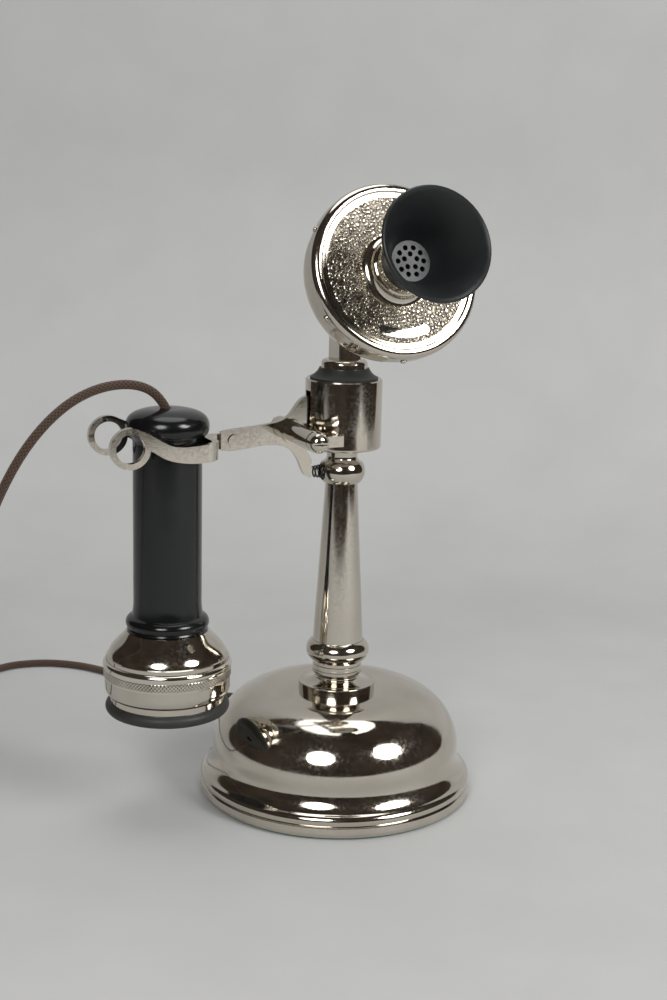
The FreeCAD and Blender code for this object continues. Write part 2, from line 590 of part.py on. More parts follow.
def transmitter_post():
    """Post with a round foot, a stud down through the shoulder and a rounded eye for the tilt screw."""
    foot = turned((0, SHOULDER_TOP), (POST_DISC_RADIUS, SHOULDER_TOP), (POST_DISC_RADIUS, POST_DISC_TOP - 2.6),
                  (POST_DISC_RADIUS - 0.8, POST_DISC_TOP - 0.7, POST_DISC_RADIUS - 2.6, POST_DISC_TOP),
                  (0, POST_DISC_TOP))
    stud = rod(STUD_RADIUS, (0, 0, STUD_BOTTOM), (0, 0, SHOULDER_TOP))
    y = TILT_PIVOT_Y
    r = POST_RADIUS
    base = POST_DISC_TOP - 1
    edge = [Part.LineSegment(V(0, y - r, base), V(0, y - r, TILT_PIVOT_Z)).toShape(),
            Part.Arc(V(0, y - r, TILT_PIVOT_Z), V(0, y, TILT_PIVOT_Z + r), V(0, y + r, TILT_PIVOT_Z)).toShape(),
            Part.LineSegment(V(0, y + r, TILT_PIVOT_Z), V(0, y + r, base)).toShape(),
            Part.LineSegment(V(0, y + r, base), V(0, y - r, base)).toShape()]
    blade = Part.Face(Part.Wire(edge))
    blade.translate(V(-POST_HALF_WIDTH, 0, 0))
    blade = blade.extrude(V(2 * POST_HALF_WIDTH, 0, 0))
    bore = rod(TILT_SCREW_RADIUS + RUN_FIT, (-20, y, TILT_PIVOT_Z), (20, y, TILT_PIVOT_Z))
    return foot.fuse(stud).fuse(blade).removeSplitter().cut(bore)


def tilt_screw():
    """Clamp screw through the post and both ears of the bracket."""
    side = POST_HALF_WIDTH + BODY_GAP + EAR_THICK + BODY_GAP
    y, z = TILT_PIVOT_Y, TILT_PIVOT_Z
    shank = rod(TILT_SCREW_RADIUS, (-side, y, z), (side, y, z))
    head = rod(4.6, (side, y, z), (side + 3.0, y, z))
    nut = hex_nut(9.0, 0.5, 0, 3.4)
    nut.rotate(V(0, 0, 0), Y_AXIS, -90)
    nut.translate(V(-side, y, z))
    return shank.fuse(head).fuse(nut).removeSplitter()


def tilt_bracket():
    """Plate on the back of the cup with two ears that clasp the post."""
    back = -CUP_DEPTH
    base = block((-BRACKET_HALF, -11, back - 2.0), (BRACKET_HALF, 9, back))
    inner = POST_HALF_WIDTH + BODY_GAP
    ears = base
    for side in (-1, 1):
        low, high = sorted((side * inner, side * (inner + EAR_THICK)))
        edge = [V(low, 7, back - 1), V(low, -TILT_DROP + POST_RADIUS, -TILT_REACH),
                V(low, -TILT_DROP, -TILT_REACH - POST_RADIUS), V(low, -TILT_DROP - POST_RADIUS, -TILT_REACH),
                V(low, -9, back - 1)]
        wire = Part.Wire([Part.LineSegment(edge[0], edge[1]).toShape(),
                          Part.Arc(edge[1], edge[2], edge[3]).toShape(),
                          Part.LineSegment(edge[3], edge[4]).toShape(),
                          Part.LineSegment(edge[4], edge[0]).toShape()])
        ears = ears.fuse(Part.Face(wire).extrude(V(high - low, 0, 0)))
    bore = rod(TILT_SCREW_RADIUS + RUN_FIT, (-20, -TILT_DROP, -TILT_REACH), (20, -TILT_DROP, -TILT_REACH))
    return mounted(ears.removeSplitter().cut(bore))


def bracket_rivets():
    back = -CUP_DEPTH - 2.0
    heads = []
    beside = (POST_HALF_WIDTH + BODY_GAP + EAR_THICK + BRACKET_HALF) / 2
    for x in (-beside, beside):
        for y in (-8.4, 6.4):
            head = button_head(1.9, 1.2)
            head.rotate(V(0, 0, 0), X_AXIS, 180)
            head.translate(V(x, y, back))
            heads.append(head)
    return mounted(Part.makeCompound(heads))


def transmitter_cup():
    """Spun back shell of the transmitter."""
    wall = CUP_WALL
    depth = CUP_DEPTH
    r = CUP_RADIUS
    cup = turned((r - wall, FACE_BACK), (r - wall, 13 - depth), (r - 5.0, 5 - depth, r - 14.7, wall - depth),
                 (0, wall - depth), (0, -depth), (r - 14.2, -depth), (r - 3.7, 3.8 - depth, r, 13 - depth),
                 (r, FACE_BACK))
    return mounted(cup)


def transmitter_rim():
    """Bezel that clamps the face plate onto the cup."""
    return mounted(turned((CUP_RADIUS + SLIP_FIT, -6.6), (RIM_RADIUS - 0.6, -6.6), (RIM_RADIUS, -6.0),
                          (RIM_RADIUS, -1.6), (RIM_RADIUS - 0.9, 0.9, RIM_RADIUS - 2.9, 1.8),
                          (FACE_RADIUS + 0.9, 1.8), (FACE_RADIUS + SLIP_FIT, 1.0),
                          (FACE_RADIUS + SLIP_FIT, -1.6), (CUP_RADIUS + SLIP_FIT, -1.6)))


def face_plate():
    """Cast front of the transmitter with two fine ridges near its edge and a seat for the diaphragm."""
    seat = DIAPHRAGM_RADIUS - 4
    bore = NECK_BORE + 1.2
    return mounted(turned((bore, -1.6), (seat, -1.6), (seat, FACE_BACK), (CUP_RADIUS - 0.2, FACE_BACK),
                          (CUP_RADIUS - 0.2, -1.6), (FACE_RADIUS, -1.6), (FACE_RADIUS, 0.9),
                          (FACE_RADIUS - 0.7, 0.9), (FACE_RADIUS - 1.0, 0.4), (FACE_RADIUS - 1.3, 0.4),
                          (FACE_RADIUS - 1.6, 0.9), (FACE_RADIUS - 2.3, 0.9), (FACE_RADIUS - 2.6, 0.3), (bore, 0.3)))


def rim_screws():
    """Small round-headed screws in the side of the rim."""
    heads = []
    for k in range(RIM_SCREWS):
        head = button_head(1.5, 1.0)
        head.rotate(V(0, 0, 0), Y_AXIS, 90)
        head.translate(V(RIM_RADIUS, 0, -4.0))
        head.rotate(V(0, 0, 0), Z_AXIS, 30 + 360.0 * k / RIM_SCREWS)
        heads.append(head)
    return mounted(Part.makeCompound(heads))


def mouthpiece_neck():
    """Nickel neck with a flared foot on the face plate."""
    r = NECK_RADIUS
    return mounted(turned((NECK_BORE, -1.6), (NECK_BORE + 1.2, -1.6), (NECK_BORE + 1.2, 0.3), (r + 4.1, 0.3),
                          (r + 4.1, 1.2), (r + 1.4, 2.6, r + 0.2, 5.6), (r + 0.6, 6.0), (r + 0.6, 7.0),
                          (r, 7.4), (r - 0.3, NECK_LENGTH), (NECK_BORE, NECK_LENGTH)))


def neck_screw():
    """Small screw in the side of the neck that locks the mouthpiece."""
    head = rod(1.0, (-NECK_RADIUS - 0.5, 0, 10.2), (-NECK_RADIUS + 1.2, 0, 10.2))
    head = head.cut(rod(NECK_RADIUS, (0, 0, 7.4), (0, 0, NECK_LENGTH)))
    head.rotate(V(0, 0, 0), Z_AXIS, 35)
    return mounted(head)


def mouthpiece():
    """Hard-rubber horn with a pierced disc at its throat."""
    m = MOUTH_LENGTH
    n = NECK_RADIUS
    r = MOUTH_RADIUS
    thread = NECK_BORE - SLIP_FIT
    throat = MOUTH_GRILLE - GRILLE_THICK
    horn = turned((thread - 2.2, 2.0), (thread, 2.0), (thread, NECK_LENGTH), (NECK_RADIUS + 0.2, NECK_LENGTH),
                  (NECK_RADIUS + 0.2, NECK_LENGTH + 1.4),
                  [(n + 0.9, m - 25.5), (n + 3.8, m - 17.5), (n + 8.2, m - 8.8), (r - 0.9, m - 2.4)],
                  (r + 0.05, m - 1.0, r - 0.8, m), (r - 1.6, m - 0.5),
                  [(n + 8.2 - MOUTH_WALL, m - 8.4), (n + 3.6 - MOUTH_WALL, m - 16.8),
                   (GRILLE_RADIUS + 2, MOUTH_GRILLE + 3.4), (GRILLE_RADIUS, MOUTH_GRILLE)],
                  (0, MOUTH_GRILLE), (0, throat), (thread - 2.2, throat))
    places = around(10, GRILLE_OUTER) + around(5, GRILLE_INNER, 18.0)
    for x, y in places:
        horn = horn.cut(rod(GRILLE_HOLE, (x, y, throat - 1), (x, y, MOUTH_GRILLE + 1)))
    return mounted(horn)


def gasket():
    return mounted(tube(DIAPHRAGM_RADIUS, DIAPHRAGM_RADIUS - 3.6, FACE_BACK - 1.0, FACE_BACK))


def diaphragm():
    back = FACE_BACK - 1.4
    return mounted(turned((0, back), (DIAPHRAGM_RADIUS, back), (DIAPHRAGM_RADIUS, back + 0.4), (0, back + 0.4)))


def carbon_button():
    """Brass cell of carbon grains behind the diaphragm."""
    front = FACE_BACK - 1.4
    r = BUTTON_RADIUS
    return mounted(turned((0, front - 10), (r, front - 10), (r, front - 3), (r - 2, front - 2), (3, front - 2),
                          (3, front), (0, front)))


def bridge_top():
    """Front face of the bridge behind the carbon button."""
    return FACE_BACK - 1.4 - 10


def button_bridge():
    """Bar that carries the carbon button, on two posts from the face plate."""
    top = bridge_top()
    bar = block((-BRIDGE_HALF, -6, top - 2.4), (BRIDGE_HALF, 6, top))
    for x in (-BRIDGE_POST_X, BRIDGE_POST_X):
        bar = bar.fuse(rod(2.8, (x, 0, top - 1), (x, 0, FACE_BACK)))
    return mounted(bar.removeSplitter())


def bridge_screws():
    top = bridge_top() - 2.4
    return mounted(Part.makeCompound([rod(2.4, (x, 0, top - 1.4), (x, 0, top))
                                      for x in (-BRIDGE_POST_X, BRIDGE_POST_X)]))


# Receiver, on its own upright axis

def hung(shape):
    """Moves a receiver piece from the Z axis to the receiver's axis."""
    shape.translate(V(RECEIVER_X, 0, 0))
    return shape


def receiver_tail_cap():
    """Rounded knob that hangs on the fork, with the hole that the cord comes out of."""
    r = CAP_RADIUS
    knob = turned((0, SHELL_TOP - 7), (SHELL_BORE - SLIP_FIT, SHELL_TOP - 7), (SHELL_BORE - SLIP_FIT, SHELL_TOP),
                  (SHELL_RADIUS, SHELL_TOP),
                  [(SHELL_RADIUS + 0.5, SHELL_TOP + 2.3), (r - 0.6, SHELL_TOP + 5.6), (r, CAP_TOP - 8.4),
                   (r - 1.2, CAP_TOP - 4.6), (r - 5.4, CAP_TOP - 1.7), (r - 12.0, CAP_TOP - 0.3)], (0, CAP_TOP))
    knob = hung(knob)
    start, ahead = V(*CORD_ROUTE[0]), V(*CORD_ROUTE[1])
    way = (ahead - start).normalize()
    bottom = start - way * BODY_GAP
    return knob.cut(Part.makeCylinder(CORD_HOLE, 20, bottom, way))


def receiver_shell():
    """Hard-rubber handle with a bead where it meets the metal cup."""
    r = SHELL_RADIUS
    low = SHELL_BOTTOM
    return hung(turned((SHELL_BORE, low), (FLANGE_RADIUS - 1.0, low), (FLANGE_RADIUS - 0.6, low + 0.9),
                       (FLANGE_RADIUS - 1.0, low + 1.6),
                       (FLANGE_RADIUS + 0.1, low + 4.4, r + 1.4, low + 7.4), (r + 0.7, low + 7.8),
                       [(r + 0.25, low + 11), (r, low + 17)], (r, SHELL_TOP), (SHELL_BORE, SHELL_TOP)))


def receiver_cup():
    """Nickel dome between the handle and the clamp ring."""
    top = SHELL_BOTTOM
    wall = BAND_WALL
    edge = BAND_RADIUS - 1.0
    return hung(turned((SHELL_BORE, top), (FLANGE_RADIUS - 0.2, top), (FLANGE_RADIUS + 1.4, top - 2.0),
                       [(edge - 4.1, top - 6.4), (edge - 1.4, top - 10.2), (edge - 0.6, top - 12.4)],
                       (edge, top - 12.8), (edge, CLAMP_TOP - 3), (edge - wall, CLAMP_TOP - 3), (edge - wall, top - 12.6),
                       [(edge - 4.4, top - 9.4), (edge - 9.4, top - 4.2)], (SHELL_BORE, top - 2.4)))


def clamp_ring():
    """Ring with a rounded top edge and a milled band, screwed over the cup's rim."""
    r = CLAMP_RADIUS
    inside = BAND_RADIUS - 1.0 + SLIP_FIT
    floor = CLAMP_TOP - 3
    bore = BAND_RADIUS - 1.0 - BAND_WALL
    return hung(turned((bore, BAND_TOP), (BAND_RADIUS, BAND_TOP), (BAND_RADIUS + 0.2, BAND_TOP + 0.5),
                       (BAND_RADIUS + 0.2, floor - 1.2), (r - 0.2, floor - 0.6),
                       (r + 0.15, floor + 1.2, r - 0.5, CLAMP_TOP - 0.4), (inside, CLAMP_TOP), (inside, floor),
                       (bore, floor)))


def receiver_band():
    """Plain lower band that the ear cap screws into."""
    r = BAND_RADIUS
    low = BAND_BOTTOM
    inner = r - 1.0 - BAND_WALL
    return hung(turned((inner - 1.6, low), (r - 2.8, low), (r - 2.8, low + 3.0), (r - 2.1, low + 3.3),
                       (r - 0.6, low + 5.2, r, low + 7.6), (r, BAND_TOP), (inner, BAND_TOP),
                       (inner, low + 6.0), (inner - 1.6, low + 6.0)))


def ear_cap():
    """Composition cap with a dished face and a round sound hole."""
    r = EAR_RADIUS
    low = EAR_BOTTOM
    collar = BAND_RADIUS - 2.6 - BAND_WALL - SLIP_FIT
    return hung(turned((EAR_HOLE, low + 3.4), (r - 10, low + 2.2), (r - 4.0, low, r - 2.2, low + 0.5),
                       (r + 0.05, low + 3.0, r - 0.9, BAND_BOTTOM - 0.8), (r - 1.8, BAND_BOTTOM),
                       (collar, BAND_BOTTOM), (collar, BAND_BOTTOM + 5.6), (collar - 3, BAND_BOTTOM + 5.6),
                       (collar - 3, low + 6.6), (EAR_HOLE, low + 6.6)))


def receiver_diaphragm():
    low = BAND_BOTTOM + 5.6
    r = BAND_RADIUS - 2.6 - BAND_WALL - SLIP_FIT
    return hung(turned((0, low), (r, low), (r, low + 0.4), (0, low + 0.4)))


def magnet_bridge():
    """Brass plate across the cup that carries the magnet."""
    low = CLAMP_TOP - 3
    r = BAND_RADIUS - 1.0 - BAND_WALL
    disc = turned((0, low), (r, low), (r, low + BRIDGE_PLATE), (0, low + BRIDGE_PLATE))
    for side in (-1, 1):
        y = side * POLE_Y
        disc = disc.cut(block((-MAGNET_WIDE / 2, y - MAGNET_DEEP / 2, low - 1),
                              (MAGNET_WIDE / 2, y + MAGNET_DEEP / 2, low + BRIDGE_PLATE + 1)))
    return hung(disc)


def receiver_magnet():
    """Long horseshoe magnet inside the handle."""
    magnet = block((-MAGNET_WIDE / 2, -POLE_Y - MAGNET_DEEP / 2, MAGNET_TOP - 6),
                   (MAGNET_WIDE / 2, POLE_Y + MAGNET_DEEP / 2, MAGNET_TOP))
    for side in (-1, 1):
        y = side * POLE_Y
        magnet = magnet.fuse(block((-MAGNET_WIDE / 2, y - MAGNET_DEEP / 2, MAGNET_BOTTOM),
                                   (MAGNET_WIDE / 2, y + MAGNET_DEEP / 2, MAGNET_TOP - 3)))
    return hung(magnet.removeSplitter())


def pole_pieces():
    low = BAND_BOTTOM + 6.6
    return hung(Part.makeCompound([block((-3, side * POLE_Y - 2, low), (3, side * POLE_Y + 2, MAGNET_BOTTOM))
                                   for side in (-1, 1)]))


def receiver_coils():
    low = BAND_BOTTOM + 8.0
    high = CLAMP_TOP - 3
    coils = []
    for side in (-1, 1):
        y = side * POLE_Y
        coil = rod(6.4, (0, y, low), (0, y, high))
        coils.append(coil.cut(block((-3, y - 2, low - 1), (3, y + 2, high + 1))))
    return hung(Part.makeCompound(coils))


# Cord

def receiver_cord():
    """The cord as a plain tube along straight runs joined by the largest tangent arcs that they allow."""
    points = [V(*p) for p in CORD_ROUTE]
    edges = []
    radii = []
    here = points[0]
    for before, corner, after in zip(points, points[1:], points[2:]):
        way_in = (corner - before).normalize()
        way_out = (after - corner).normalize()
        turn = way_in.getAngle(way_out)
        reach = 0.45 * min((corner - before).Length, (after - corner).Length)
        radius = reach / math.tan(turn / 2)
        radii.append(radius)
        start, end = corner - way_in * reach, corner + way_out * reach
        inward = (way_out - way_in).normalize()
        middle = corner + inward * (math.hypot(radius, reach) - radius)
        edges.append(Part.LineSegment(here, start).toShape())
        edges.append(Part.Arc(start, middle, end).toShape())
        here = end
    edges.append(Part.LineSegment(here, points[-1]).toShape())
    path = Part.Wire(edges)
    section = Part.Wire(Part.Circle(points[0], points[1] - points[0], CORD_RADIUS).toShape())
    tube_solid = path.makePipeShell([section], True, False)
    wanted = math.pi * CORD_RADIUS ** 2 * path.Length
    print("cord radii", " ".join(f"{r:.0f}" for r in radii))
    print(f"cord length {path.Length:.0f} mm, volume {tube_solid.Volume:.0f}, section times length {wanted:.0f}")
    return tube_solid


PIECES = [
    felt_pad, bottom_plate, base_weight, plate_screws, base_shell, cord_bushing,
    base_collar, stem_foot, stem_washer, stem_nut, stem_tube, stem_head,
    housing_cup, housing_nut, housing_barrel, shoulder, switch_frame, switch_blades, switch_insulators, post_nut,
    hook_lever, hook_fork, fork_screw, pivot_screw, hook_spring,
    transmitter_post, tilt_screw, tilt_bracket, bracket_rivets, transmitter_cup, transmitter_rim, face_plate,
    rim_screws, mouthpiece_neck, neck_screw, mouthpiece, gasket, diaphragm, carbon_button, button_bridge,
    bridge_screws,
    receiver_tail_cap, receiver_shell, receiver_cup, clamp_ring, receiver_band, ear_cap, receiver_diaphragm,
    magnet_bridge, receiver_magnet, pole_pieces, receiver_coils, receiver_cord,
]

os.makedirs("parts", exist_ok=True)
for piece in PIECES:
    shape = piece()
    if not shape.isValid():
        print(f"{piece.__name__} is not valid")
    shape.exportStep(os.path.join("parts", piece.__name__ + ".step"))
    print(f"{piece.__name__}: {len(shape.Solids)} solids, {shape.Volume:.0f} mm3")
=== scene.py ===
"""Dresses the desk-stand telephone: nickel, hard rubber, braided cord and felt, under plain studio light."""

import json
import math

import bmesh
import bpy
from mathutils import Matrix, Vector, noise


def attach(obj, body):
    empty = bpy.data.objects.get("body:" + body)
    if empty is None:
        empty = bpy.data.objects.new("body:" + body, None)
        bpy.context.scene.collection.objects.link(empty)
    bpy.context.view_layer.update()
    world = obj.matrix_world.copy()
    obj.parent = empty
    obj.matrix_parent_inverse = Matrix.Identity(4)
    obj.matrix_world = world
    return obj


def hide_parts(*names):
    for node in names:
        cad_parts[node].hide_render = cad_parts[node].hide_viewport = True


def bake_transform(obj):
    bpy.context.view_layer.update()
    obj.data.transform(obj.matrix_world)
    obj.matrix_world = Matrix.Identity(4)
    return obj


MM = 0.001

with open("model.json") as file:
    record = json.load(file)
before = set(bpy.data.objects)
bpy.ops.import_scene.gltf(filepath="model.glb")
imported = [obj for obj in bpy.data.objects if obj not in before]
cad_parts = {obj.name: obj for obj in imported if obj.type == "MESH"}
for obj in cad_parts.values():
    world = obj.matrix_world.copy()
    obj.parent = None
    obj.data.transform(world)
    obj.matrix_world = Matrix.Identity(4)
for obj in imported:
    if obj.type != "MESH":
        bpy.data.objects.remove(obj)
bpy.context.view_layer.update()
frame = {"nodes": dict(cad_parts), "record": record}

# Places in the CAD frame, in millimetres and degrees
RECEIVER_X = -93.0
TILT = 20.2
TILT_PIVOT_Z = 252.0
TILT_REACH = 60.9
TILT_DROP = 3.8
SPRING_Z = 171.5

# Felt disc, in millimetres, wider than its solid so that its edge shows under the rim
FELT_THICK = 1.2
FELT_RADIUS = 69.6

# Pebbled ring of the transmitter's face: radii, size, height and spacing of mesh rows in millimetres,
# and the part of a pebble's size over which its side rises
PEBBLED = (18.2, 34.2)
PEBBLE_SIZE = 1.9
PEBBLE_HEIGHT = 0.5
PEBBLE_SIDE = 0.45
PEBBLE_ROW = 0.33
FACE_SEGMENTS = 600

# Milled band of the receiver's clamp ring: heights, radius, pitch and ridge height in millimetres
MILLED = (73.5, 77.4)
MILLED_RADIUS = 31.6
MILLED_PITCH = 2.0
MILLED_HEIGHT = 0.2
MILLED_ROWS = 12
MILLED_RIDGES = 110
SEGMENTS_PER_RIDGE = 6

# Cord, in millimetres: its diameter and the control points of its route
CORD_DIAMETER = 4.5
CORD_ROUTE = [
    (-92.3, 0, 204.2), (-96.5, 0, 213.4), (-108, 0, 219.8), (-124, 0, 219.4), (-139, 0, 213.6),
    (-152, 1, 203), (-163, 3, 189), (-172, 6, 172), (-179, 12, 152), (-184, 20, 128),
    (-187, 32, 100), (-188, 48, 70), (-188, 68, 40), (-187, 92, 17), (-184, 120, 5),
    (-178, 151, 2.3), (-168, 185, 2.3), (-152, 218, 2.3), (-128, 246, 2.3), (-99, 246, 2.3),
    (-76, 230, 2.3), (-61, 206, 2.3), (-45, 179, 2.3), (-27, 157, 2.3), (-9, 144, 2.3),
    (6, 132, 2.4), (10, 115, 4), (5, 99, 10.5), (1, 85, 18), (0, 73, 20), (0, 61.5, 20),
]

# Meshes: steps of an arc, of a cord's span and of a lathe, merging distances in millimetres,
# and the angles in degrees past which an edge stays hard
ARC_STEPS = 14
SPAN_STEPS = 12
LATHE_SEGMENTS = 160
COLLAR_SEGMENTS = 240
LATHE_MERGE = 0.002
NODE_MERGE = 0.001
SHARP = 30.0
SHARP_RELIEF = 50.0
SHARP_WIRE = 60.0
SHARP_PAPER = 80.0
SHARP_NODE = 28.0

# Camera, from the photograph, in millimetres and degrees
LENS = 56.16
SENSOR = 36.0
CAMERA_PLACE = (-321.5, -712.6, 328.8)
CAMERA_TURN = -24.0
CAMERA_PITCH = 77.5
CAMERA_ROLL = 1.35

# Paper and lamps, in metres, with each lamp's name, place, power in watts and diameter
PAPER_WIDTH = 2.2
PAPER_FRONT = -0.85
PAPER_BEND = (0.34, 0)
PAPER_BEND_MIDDLE = (0.58, 0.10)
PAPER_BEND_END = (0.68, 0.34)
PAPER_TOP = 1.5
LAMP_AIM = (-0.03, 0, 0.14)
LAMPS = (
    ("left_lamp", (-1.00, -1.25, 1.00), 13.0, 0.8),
    ("right_lamp", (0.80, -1.30, 1.05), 20.0, 0.8),
    ("top_lamp", (0.1, 0.2, 1.7), 8.0, 1.2),
)

# Numbers of the mix node's colour sockets, which share their names with others
MIX_FIRST = 6
MIX_SECOND = 7
MIX_RESULT = 2


def linear(code):
    """Linear colour, with alpha, from an sRGB hex code."""
    values = [int(code[k:k + 2], 16) / 255 for k in (1, 3, 5)]
    return tuple(v / 12.92 if v <= 0.04045 else ((v + 0.055) / 1.055) ** 2.4 for v in values) + (1.0,)


def feed(tree, node, inputs):
    """Links a node's inputs, by name or number, to other sockets, or sets them to plain values."""
    for key, value in inputs.items():
        if isinstance(value, bpy.types.NodeSocket):
            tree.links.new(node.inputs[key], value)
        else:
            node.inputs[key].default_value = value


def add(tree, kind, inputs=None, **properties):
    """Adds a node, sets its properties and feeds its inputs."""
    node = tree.nodes.new(kind)
    for name, value in properties.items():
        setattr(node, name, value)
    feed(tree, node, inputs or {})
    return node


def new_material(name):
    """Empty material with its output and a principled shader."""
    material = bpy.data.materials.new(name)
    material.use_nodes = True
    tree = material.node_tree
    tree.nodes.clear()
    shader = add(tree, "ShaderNodeBsdfPrincipled")
    add(tree, "ShaderNodeOutputMaterial", {"Surface": shader.outputs["BSDF"]})
    return material, tree, shader


def object_place(tree):
    """Place in the object's frame, in metres."""
    return add(tree, "ShaderNodeTexCoord").outputs["Object"]


def cycles_per(millimetres):
    """Texture scale that gives one feature in so many millimetres."""
    return 1.0 / (millimetres * MM)


def clouded(tree, place, size, detail):
    """Factor of a noise texture whose features have a size in millimetres."""
    inputs = {"Vector": place, "Scale": cycles_per(size), "Detail": detail}
    return add(tree, "ShaderNodeTexNoise", inputs).outputs["Fac"]


def ramp(tree, source, low, high):
    """Colour ramp from one hex colour to another over a factor."""
    node = add(tree, "ShaderNodeValToRGB", {"Fac": source})
    node.color_ramp.elements[0].color = linear(low)
    node.color_ramp.elements[1].color = linear(high)
    return node.outputs["Color"]


def ranged(tree, source, low, high, start=0.3, end=0.7):
    """Maps a factor between start and end to a value between low and high."""
    inputs = {"Value": source, "From Min": start, "From Max": end, "To Min": low, "To Max": high}
    return add(tree, "ShaderNodeMapRange", inputs).outputs["Result"]


def combined(tree, operation, *values):
    """Result of a maths node on sockets or plain numbers."""
    return add(tree, "ShaderNodeMath", dict(enumerate(values)), operation=operation).outputs["Value"]


def bumped(tree, height, strength, depth):
    """Normal with a bump of a depth in millimetres."""
    inputs = {"Height": height, "Strength": strength, "Distance": depth * MM}
    return add(tree, "ShaderNodeBump", inputs).outputs["Normal"]


def polished_nickel(name):
    """Old nickel plate on brass: a warm mirror with cloudy patches and hair-fine polishing scratches."""
    material, tree, shader = new_material(name)
    place = object_place(tree)
    clouds = clouded(tree, place, size=22, detail=6.0)
    specks = clouded(tree, place, size=1.6, detail=3.0)
    stretch = add(tree, "ShaderNodeMapping", {"Vector": place, "Scale": (1.0, 1.0, 9.0)})
    scratches = clouded(tree, stretch.outputs["Vector"], size=2.4, detail=4.0)
    feed(tree, shader, {
        "Base Color": ramp(tree, clouds, "#beb6a8", "#dad4ca"),
        "Roughness": ranged(tree, combined(tree, "MULTIPLY", clouds, specks), 0.05, 0.17, 0.15, 0.40),
        "Normal": bumped(tree, scratches, strength=0.02, depth=0.2),
        "Metallic": 1.0,
    })
    return material


def worked_nickel(name, hollow_shade, raised, smooth, dull):
    """Nickel with a relief in its mesh: painted shade darkens its colour in the hollows, mixed with cloudy
    wear, and it is dull in the hollows and smooth on top.
    """
    material, tree, shader = new_material(name)
    relief = add(tree, "ShaderNodeAttribute", attribute_name="relief").outputs["Fac"]
    clouds = clouded(tree, object_place(tree), size=9, detail=5.0)
    # Painted shade: the colour runs from the dark hollow shade on the low parts of the relief to plain
    # nickel on the raised parts, mixed with cloudy wear
    wear_and_shade = ranged(tree, combined(tree, "ADD", clouds, relief), 0.0, 1.0, 0.35, 1.35)
    feed(tree, shader, {
        "Base Color": ramp(tree, wear_and_shade, hollow_shade, raised),
        "Roughness": ranged(tree, relief, dull, smooth, 0.0, 1.0),
        "Metallic": 1.0,
    })
    return material


def moulded(name, low, high, smooth, dull):
    """Hard rubber or composition: a dark moulded skin with a faint grain and patchy polish."""
    material, tree, shader = new_material(name)
    place = object_place(tree)
    patches = clouded(tree, place, size=16, detail=5.0)
    grain = clouded(tree, place, size=0.9, detail=2.0)
    feed(tree, shader, {
        "Base Color": ramp(tree, patches, low, high),
        "Roughness": ranged(tree, patches, smooth, dull),
        "Normal": bumped(tree, grain, strength=0.06, depth=0.2),
        "IOR": 1.5,
    })
    return material


def plain_metal(name, low, high, smooth, dull):
    """Unplated metal of the inner pieces: satin, with slight stains."""
    material, tree, shader = new_material(name)
    stains = clouded(tree, object_place(tree), size=6, detail=4.0)
    feed(tree, shader, {
        "Base Color": ramp(tree, stains, low, high),
        "Roughness": ranged(tree, stains, smooth, dull),
        "Metallic": 1.0,
    })
    return material


def wool_felt(name):
    """Green wool felt: matted fibres with a soft nap."""
    material, tree, shader = new_material(name)
    fibres = clouded(tree, object_place(tree), size=0.9, detail=6.0)
    feed(tree, shader, {
        "Base Color": ramp(tree, fibres, "#0f4a43", "#2c8378"),
        "Normal": bumped(tree, fibres, strength=0.7, depth=0.4),
        "Roughness": 0.95,
        "Sheen Weight": 0.4,
    })
    return material


def braided_cotton(name):
    """Brown cotton braid: yarns that cross at an angle round the cord, with painted shade darkening the
    colour in the gaps between them.
    """
    material, tree, shader = new_material(name)
    laid = add(tree, "ShaderNodeUVMap", uv_map="braid")
    parts = add(tree, "ShaderNodeSeparateXYZ", {"Vector": laid.outputs["UV"]})
    yarns_round = 7.0
    yarn_pitch = 2.2
    waves = []
    for lean in (-1.0, 1.0):
        turn = combined(tree, "MULTIPLY", parts.outputs["X"], 2 * math.pi * yarns_round)
        along = combined(tree, "MULTIPLY", parts.outputs["Y"], lean * 2 * math.pi * cycles_per(yarn_pitch))
        waves.append(combined(tree, "SINE", combined(tree, "ADD", turn, along)))
    raised = ranged(tree, combined(tree, "MAXIMUM", *waves), 0.0, 1.0, -0.6, 1.0)
    feed(tree, shader, {
        # Painted shade: yarn brown on the raised parts, darkened in the low gaps between yarns
        "Base Color": ramp(tree, raised, "#1c110a", "#4c3523"),
        "Normal": bumped(tree, raised, strength=0.9, depth=0.35),
        "Roughness": 0.85,
        "Sheen Weight": 0.2,
    })
    return material


def paper_sweep(name):
    """Pale grey paper behind and under the object, slightly uneven, and clear when seen from its back."""
    material, tree, shader = new_material(name)
    mottle = clouded(tree, object_place(tree), size=60, detail=7.0)
    feed(tree, shader, {"Base Color": ramp(tree, mottle, "#aaaaa9", "#b4b4b3"), "Roughness": 0.9})
    side = add(tree, "ShaderNodeNewGeometry")
    clear = add(tree, "ShaderNodeBsdfTransparent")
    faces = {"Fac": side.outputs["Backfacing"], 1: shader.outputs["BSDF"], 2: clear.outputs["BSDF"]}
    mixed = add(tree, "ShaderNodeMixShader", faces)
    feed(tree, tree.nodes["Material Output"], {"Surface": mixed.outputs["Shader"]})
    return material


def transmitter_frame():
    """Matrix from the transmitter's own frame, facing +Z with its rim at Z = 0, to the object's frame."""
    pivot = Matrix.Translation((0, 0, TILT_PIVOT_Z * MM))
    tilt = Matrix.Rotation(math.radians(-TILT), 4, "X")
    reach = Matrix.Translation((0, -TILT_REACH * MM, TILT_DROP * MM))
    return pivot @ tilt @ reach @ Matrix.Rotation(math.radians(90), 4, "X")


